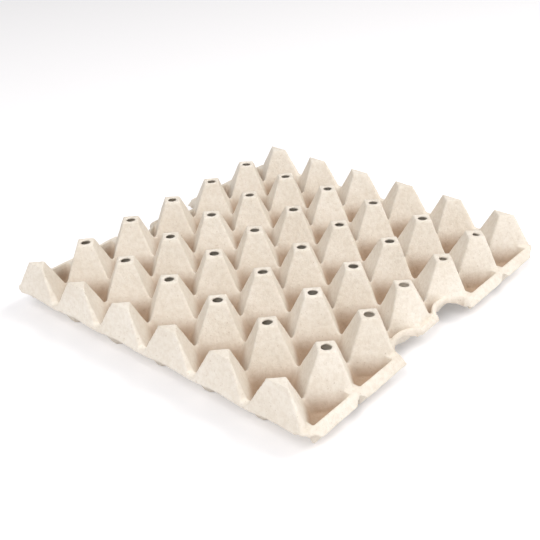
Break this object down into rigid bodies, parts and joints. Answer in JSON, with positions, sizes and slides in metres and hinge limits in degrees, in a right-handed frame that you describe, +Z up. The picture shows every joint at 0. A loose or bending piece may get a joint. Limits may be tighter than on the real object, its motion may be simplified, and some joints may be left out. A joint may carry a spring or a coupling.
{
  "type": "pulp egg tray",
  "caption": "Square moulded pulp tray with rows of tapered cups between posts with open tips, a flared rim and finger holds on two sides.",
  "frame": {"origin": "middle of the tray, in the plane that it stands on", "axes": "+Z up through the cups, +X along the rows of six cups, +Y across the rows, towards a flange"},
  "size_m": [0.298, 0.295, 0.045],
  "materials": {
    "pulp": "matt moulded paper pulp with a fibrous, slightly speckled surface"
  },
  "bodies": {
    "root": {"egg_tray": "pulp"}
  },
  "joints": []
}
